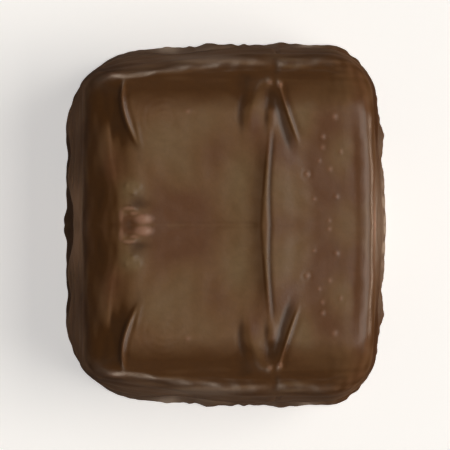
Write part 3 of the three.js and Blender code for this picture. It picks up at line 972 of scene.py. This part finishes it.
def grain_group():
    group = new_group(
        "set_grain",
        [("Ripple Scale", 420.0), ("Grain Scale", 2600.0), ("Grain Share", 0.3)],
        [("Height", "NodeSocketFloat")],
    )
    place = add(group, "ShaderNodeTexCoord")
    inputs, out = group.nodes["In"], group.nodes["Out"]
    ripple = add(group, "ShaderNodeTexNoise", Detail=3.0, Roughness=0.5)
    grain = add(group, "ShaderNodeTexNoise", Detail=3.0, Roughness=0.6)
    blend = add(group, "ShaderNodeMix", data_type="FLOAT")
    join(group, place.outputs["Object"], ripple.inputs["Vector"])
    join(group, place.outputs["Object"], grain.inputs["Vector"])
    join(group, inputs.outputs["Ripple Scale"], ripple.inputs["Scale"])
    join(group, inputs.outputs["Grain Scale"], grain.inputs["Scale"])
    join(group, inputs.outputs["Grain Share"], blend.inputs["Factor"])
    join(group, ripple.outputs["Fac"], blend.inputs["A"])
    join(group, grain.outputs["Fac"], blend.inputs["B"])
    join(group, blend.outputs["Result"], out.inputs["Height"])
    return group


def levelness_group():
    """1 where the surface is level, 0 where it is steep, between two slopes in degrees."""
    group = new_group(
        "levelness",
        [("Steep", 21.0), ("Level", 2.0)],
        [("Mask", "NodeSocketFloat")],
    )
    place = add(group, "ShaderNodeTexCoord")
    inputs, out = group.nodes["In"], group.nodes["Out"]
    split = add(group, "ShaderNodeSeparateXYZ")
    tilt = add(group, "ShaderNodeMath", operation="ARCCOSINE")
    degrees = add(group, "ShaderNodeMath", operation="DEGREES")
    mask = add(group, "ShaderNodeMapRange")
    join(group, place.outputs["Normal"], split.inputs["Vector"])
    join(group, split.outputs["Z"], tilt.inputs["Value"])
    join(group, tilt.outputs["Value"], degrees.inputs["Value"])
    join(group, degrees.outputs["Value"], mask.inputs["Value"])
    join(group, inputs.outputs["Steep"], mask.inputs["From Min"])
    join(group, inputs.outputs["Level"], mask.inputs["From Max"])
    join(group, mask.outputs["Result"], out.inputs["Mask"])
    return group


def near_sheet_group():
    """1 near the sheet, 0 higher up, between two heights over the sheet in metres."""
    group = new_group(
        "near_sheet",
        [("Full Height", 0.0013), ("Gone Height", 0.0022)],
        [("Mask", "NodeSocketFloat")],
    )
    place = add(group, "ShaderNodeTexCoord")
    inputs, out = group.nodes["In"], group.nodes["Out"]
    split = add(group, "ShaderNodeSeparateXYZ")
    mask = add(group, "ShaderNodeMapRange")
    join(group, place.outputs["Object"], split.inputs["Vector"])
    join(group, split.outputs["Z"], mask.inputs["Value"])
    join(group, inputs.outputs["Gone Height"], mask.inputs["From Min"])
    join(group, inputs.outputs["Full Height"], mask.inputs["From Max"])
    join(group, mask.outputs["Result"], out.inputs["Mask"])
    return group


MOTTLING = mottling_group()
GRAIN = grain_group()
LEVELNESS = levelness_group()
NEAR_SHEET = near_sheet_group()
print("groups:", [group.name for group in bpy.data.node_groups])

# %% [markdown]
# ## The browns of milk chocolate
# Set milk chocolate is a dark warm brown that isn't red. A level place goes from olive through
# a neutral brown to a warm one, by its tint and by the mottling. A slope is painted deeper, as
# painted shade, and a wall goes from pale to deep, with painted shade and a painted reflection
# in places. The lift paints light onto some slopes, which brings them nearer to the level
# colours. The pale colour is thin chocolate and painted highlights. Specks and the painted
# shade of the furrows then scale the whole. A painted picture could hold all of this, but mixes
# of named browns are easier to change, and they stay sharp from close by.


# %% Mixed colours and moved values
def mixed_colour(tree, mask, low, high):
    """Low where the mask is 0 and high where it is 1, each a colour or a node's output."""
    mix = add(tree, "ShaderNodeMix", data_type="RGBA")
    join(tree, mask, mix.inputs["Factor"])
    for socket, colour in (("A", low), ("B", high)):
        if isinstance(colour, tuple):
            mix.inputs[socket].default_value = (*colour, 1)
        else:
            join(tree, colour, mix.inputs[socket])
    return mix.outputs["Result"]


def moved_value(tree, value, before, after):
    """The value moved from the range before to the range after, and held inside it."""
    move = add(tree, "ShaderNodeMapRange", From_Min=before[0], From_Max=before[1])
    move.inputs["To Min"].default_value, move.inputs["To Max"].default_value = after
    join(tree, value, move.inputs["Value"])
    return move.outputs["Result"]


# %% Brown of the level top
OLIVE = (0.234, 0.146, 0.067)
NEUTRAL = (0.215, 0.111, 0.046)
WARM = (0.17, 0.072, 0.029)
# how much the mottling's patches, which go from 0 to 1, add to the tint
PATCH_SHARE = 0.3


def level_brown(tree, tint, patches):
    """From olive to warm by the tint and the patches."""
    warmth = add(tree, "ShaderNodeMath", operation="MULTIPLY_ADD")
    warmth.inputs[1].default_value = PATCH_SHARE
    join(tree, patches, warmth.inputs[0])
    join(tree, tint, warmth.inputs[2])
    browns = add(tree, "ShaderNodeValToRGB")
    stops = browns.color_ramp.elements
    stops.new(0.5)
    for stop, place, brown in zip(stops, (0.0, 0.5, 1.0), (OLIVE, NEUTRAL, WARM)):
        stop.position = min(place + PATCH_SHARE / 2, 1.0)
        stop.color = (*brown, 1)
    join(tree, warmth.outputs["Value"], browns.inputs["Fac"])
    return browns.outputs["Color"]


# %% Browns of the slopes, the walls and the thin places
# painted shade: slopes take this brown, deeper than the level top's
SLOPE_BROWN = (0.098, 0.037, 0.007)
WALL_PALE, WALL_DEEP = (0.3, 0.16, 0.085), (0.09, 0.032, 0.008)
# degrees from level: steeper than the first is all wall, gentler than the second is all slope
WALL_FULL, WALL_GONE = 82.0, 60.0
# the pale colour, for thin chocolate and painted highlights, on the top and lower down
THIN_ON_TOP, THIN_BELOW = (0.42, 0.225, 0.15), (0.38, 0.28, 0.21)
# millimetres over the sheet: under the first the pale places have the colour for below, and over
# the second the colour for the top
THIN_LOW, THIN_HIGH = 19.5, 20.4


def side_brown(tree, tint):
    """The slope's brown, painted deeper as shade, and on a wall pale to deep by the tint."""
    wall = mixed_colour(tree, tint, WALL_PALE, WALL_DEEP)
    slope = add(tree, "ShaderNodeGroup", node_tree=LEVELNESS, Steep=WALL_FULL, Level=WALL_GONE)
    return mixed_colour(tree, slope.outputs["Mask"], wall, SLOPE_BROWN)


def pale_brown(tree):
    """Thin chocolate and painted highlights, redder on the top than on the walls and the foot."""
    low = add(tree, "ShaderNodeGroup", node_tree=NEAR_SHEET)
    low.inputs["Full Height"].default_value = THIN_LOW * MM
    low.inputs["Gone Height"].default_value = THIN_HIGH * MM
    return mixed_colour(tree, low.outputs["Mask"], THIN_ON_TOP, THIN_BELOW)


# %% Colour of the whole
# the specks' noise lies between these two values nearly everywhere, and scales the colour a bit
SPECK_NOISE = (0.3, 0.7)
SPECK_SCALES = (0.95, 1.05)
# painted shade: from this lift down to -1 a furrow grows darker, to this share of the colour
FURROW_STARTS = -0.2
FURROW_DARK = 0.7


def chocolate_colour(tree, marks, side, thin):
    """Level browns over the side's brown, the pale one over both, then specks and painted shade."""
    mottling = add(tree, "ShaderNodeGroup", node_tree=MOTTLING)
    levelness = add(tree, "ShaderNodeGroup", node_tree=LEVELNESS)
    # painted light in the lift brings a slope to the level browns, painted shade keeps it deep
    lifted = add(tree, "ShaderNodeMath", operation="ADD", use_clamp=True)
    join(tree, levelness.outputs["Mask"], lifted.inputs[0])
    join(tree, marks["Y"], lifted.inputs[1])
    level = level_brown(tree, marks["X"], mottling.outputs["Patches"])
    body = mixed_colour(tree, lifted.outputs["Value"], side, level)
    whole = mixed_colour(tree, marks["Z"], body, thin)
    specks = moved_value(tree, mottling.outputs["Specks"], SPECK_NOISE, SPECK_SCALES)
    furrows = moved_value(tree, marks["Y"], (-1, FURROW_STARTS), (FURROW_DARK, 1))
    dimmed = add(tree, "ShaderNodeMath", operation="MULTIPLY")
    join(tree, specks, dimmed.inputs[0])
    join(tree, furrows, dimmed.inputs[1])
    scaled = add(tree, "ShaderNodeVectorMath", operation="SCALE")
    join(tree, whole, scaled.inputs[0])
    join(tree, dimmed.outputs["Value"], scaled.inputs["Scale"])
    return scaled.outputs["Vector"]


# %% [markdown]
# ## Sheen, grain and the two materials
# The coat set with a satin sheen. It is glossiest on the level top, a little duller down the
# walls and dull on the foot, so its roughness follows the slope and the height. The underside is
# the same chocolate, set flat on paper: it is dull all over, so its roughness is one number on
# the shader, and its grain is deeper. The grain is a bump, because it is far finer than the
# mesh, and it gives the highlights their soft broken edge.

# %% Sheen of the coat
TOP_ROUGHNESS, WALL_ROUGHNESS, FOOT_ROUGHNESS = 0.31, 0.4, 0.6
# degrees from level: steeper than the first has the wall's sheen, gentler than the second the
# top's
GLOSS_GONE, GLOSS_FULL = 60.0, 25.0


def coat_roughness(tree):
    """Satin on the level top, duller on the walls, dullest on the foot."""
    top = add(tree, "ShaderNodeGroup", node_tree=LEVELNESS, Steep=GLOSS_GONE, Level=GLOSS_FULL)
    sheen = moved_value(tree, top.outputs["Mask"], (0, 1), (WALL_ROUGHNESS, TOP_ROUGHNESS))
    foot = add(tree, "ShaderNodeGroup", node_tree=NEAR_SHEET)
    dulled = add(tree, "ShaderNodeMix", data_type="FLOAT")
    dulled.inputs["B"].default_value = FOOT_ROUGHNESS
    join(tree, foot.outputs["Mask"], dulled.inputs["Factor"])
    join(tree, sheen, dulled.inputs["A"])
    return dulled.outputs["Result"]


# %% The two materials
CHOCOLATE_IOR = 1.45
UNDERSIDE_BROWN, UNDERSIDE_THIN = (0.14, 0.062, 0.022), (0.42, 0.28, 0.18)
UNDERSIDE_ROUGHNESS = 0.6


def new_chocolate(name, grain_depth):
    """A material with the grain, this deep in mm; its tree, its shader and the three marks."""
    material = bpy.data.materials.new(name)
    material.use_nodes = True
    tree = material.node_tree
    shader = tree.nodes["Principled BSDF"]
    shader.inputs["IOR"].default_value = CHOCOLATE_IOR
    grain = add(tree, "ShaderNodeGroup", node_tree=GRAIN)
    bump = add(tree, "ShaderNodeBump", Strength=1.0, Distance=grain_depth * MM)
    join(tree, grain.outputs["Height"], bump.inputs["Height"])
    join(tree, bump.outputs["Normal"], shader.inputs["Normal"])
    carried = add(tree, "ShaderNodeAttribute", attribute_name="marks")
    marks = add(tree, "ShaderNodeSeparateXYZ")
    join(tree, carried.outputs["Vector"], marks.inputs["Vector"])
    return material, tree, shader, marks.outputs


def coat_material():
    material, tree, shader, marks = new_chocolate("milk_chocolate_coat", grain_depth=0.03)
    colour = chocolate_colour(tree, marks, side_brown(tree, marks["X"]), pale_brown(tree))
    join(tree, colour, shader.inputs["Base Color"])
    join(tree, coat_roughness(tree), shader.inputs["Roughness"])
    return material


def underside_material():
    material, tree, shader, marks = new_chocolate("milk_chocolate_underside", grain_depth=0.06)
    colour = chocolate_colour(tree, marks, UNDERSIDE_BROWN, UNDERSIDE_THIN)
    join(tree, colour, shader.inputs["Base Color"])
    shader.inputs["Roughness"].default_value = UNDERSIDE_ROUGHNESS
    return material


coat.data.materials.append(coat_material())
coat.data.materials.append(underside_material())
print("materials:", [material.name for material in coat.data.materials])

# %% [markdown]
# ## Studio
# The sweet stands on plain pale paper that glows a little, so it stays nearly white round the
# shadow. Shiny chocolate shows its lamps, so each lamp is there for one light on the coat. A
# large warm box hangs overhead to the right: it lights the whole, and slopes that lean right
# mirror it. A small low box at the right draws the line along the right shoulder. Two low
# strips, one beyond each end, only put glints on the end rims, so they are hidden from diffuse
# light. The room is warm and dim above the horizon and nearly dark below it, so slopes that
# face away from the lamps stay deep brown. The paper is hidden from reflections, because a
# white floor would turn the walls grey.

# %% Floor
FLOOR_HALF = 1.0
WHITE_PAPER = {
    "Base Color": (0.86, 0.86, 0.86, 1),
    "Roughness": 0.8,
    "Specular IOR Level": 0.2,
    "Emission Color": (1, 1, 1, 1),
    "Emission Strength": 0.5,
}
corners = [(FLOOR_HALF * x, FLOOR_HALF * y, 0) for x, y in [(-1, -1), (1, -1), (1, 1), (-1, 1)]]
floor_mesh = bpy.data.meshes.new("studio_floor")
floor_mesh.from_pydata(corners, [], [(0, 1, 2, 3)])
floor = bpy.data.objects.new("studio_floor", floor_mesh)
bpy.context.scene.collection.objects.link(floor)
paper = bpy.data.materials.new("white_paper")
paper.use_nodes = True
for socket, value in WHITE_PAPER.items():
    paper.node_tree.nodes["Principled BSDF"].inputs[socket].default_value = value
floor_mesh.materials.append(paper)
floor.visible_glossy = False
print("floor", 2 * FLOOR_HALF, "m wide")

# %% Lamps
# place, width and height in metres, power in watts, and colour
LAMPS = {
    "overhead_box": ((0.6, 0, 0.8), (0.8, 0.8), 6.0, (1, 0.95, 0.87)),
    "right_box": ((0.95, 0, 0.11), (0.14, 0.18), 1.9, (1, 0.8, 0.64)),
    "far_strip": ((-0.19, 0.88, 0.12), (0.28, 0.5), 4.4, (1, 0.84, 0.68)),
    "near_strip": ((-0.19, -0.88, 0.12), (0.28, 0.5), 4.4, (1, 0.84, 0.68)),
}
GLINTS_ONLY = ("far_strip", "near_strip")
LAMPS_AIM = Vector((0, 0, 0.01))


def soft_box(name, place, size, power, colour):
    """An area light at place, facing the sweet."""
    lamp = bpy.data.lights.new(name, "AREA")
    lamp.shape = "RECTANGLE"
    lamp.size, lamp.size_y = size
    lamp.energy = power
    lamp.color = colour
    lamp_object = bpy.data.objects.new(name, lamp)
    lamp_object.location = place
    way = LAMPS_AIM - Vector(place)
    lamp_object.rotation_euler = way.to_track_quat("-Z", "Y").to_euler()
    lamp_object.visible_diffuse = name not in GLINTS_ONLY
    bpy.context.scene.collection.objects.link(lamp_object)


for name, numbers in LAMPS.items():
    soft_box(name, *numbers)
print("lamps:", list(LAMPS))

# %% Room
# the colour changes between these two heights of the way looked in, 1 being straight up
HORIZON = (-0.1, 0.1)
ROOM_BELOW, ROOM_ABOVE = (0.04, 0.034, 0.028), (0.7, 0.6, 0.5)
ROOM_STRENGTH = 0.16
world = bpy.data.worlds.new("studio_room")
world.use_nodes = True
room = world.node_tree
room_way = add(room, "ShaderNodeTexCoord")
room_split = add(room, "ShaderNodeSeparateXYZ")
join(room, room_way.outputs["Generated"], room_split.inputs["Vector"])
height_looked = moved_value(room, room_split.outputs["Z"], HORIZON, (0, 1))
room_colour = add(room, "ShaderNodeValToRGB")
for stop, colour in zip(room_colour.color_ramp.elements, (ROOM_BELOW, ROOM_ABOVE)):
    stop.color = (*colour, 1)
join(room, height_looked, room_colour.inputs["Fac"])
join(room, room_colour.outputs["Color"], room.nodes["Background"].inputs["Color"])
room.nodes["Background"].inputs["Strength"].default_value = ROOM_STRENGTH
bpy.context.scene.world = world
print("room strength", ROOM_STRENGTH)

# %% [markdown]
# ## Camera
# The camera stands sixty centimetres away and almost straight above, about five centimetres
# towards the left flank, so the top is seen square and a sliver of the left wall shows. A long
# lens keeps the walls upright.

# %% Camera
CAMERA_TILT = math.radians(5.1)
CAMERA_DISTANCE = 0.6
FRAME_WIDTH = 0.0559
FILM_WIDTH = 36.0
camera_data = bpy.data.cameras.new("camera")
camera_data.sensor_width = FILM_WIDTH
camera_data.lens = FILM_WIDTH * CAMERA_DISTANCE / FRAME_WIDTH
camera_data.clip_start = 0.01
camera = bpy.data.objects.new("camera", camera_data)
look = Vector((math.sin(CAMERA_TILT), 0, -math.cos(CAMERA_TILT)))
image_up = Vector((0, 1, 0))
image_right = look.cross(image_up)
turned = Matrix((image_right, image_up, -look)).transposed().to_4x4()
turned.translation = -CAMERA_DISTANCE * look
camera.matrix_world = turned
bpy.context.scene.collection.objects.link(camera)
bpy.context.scene.camera = camera
bpy.context.scene.view_settings.view_transform = "Standard"
print("lens", round(camera_data.lens), "mm")
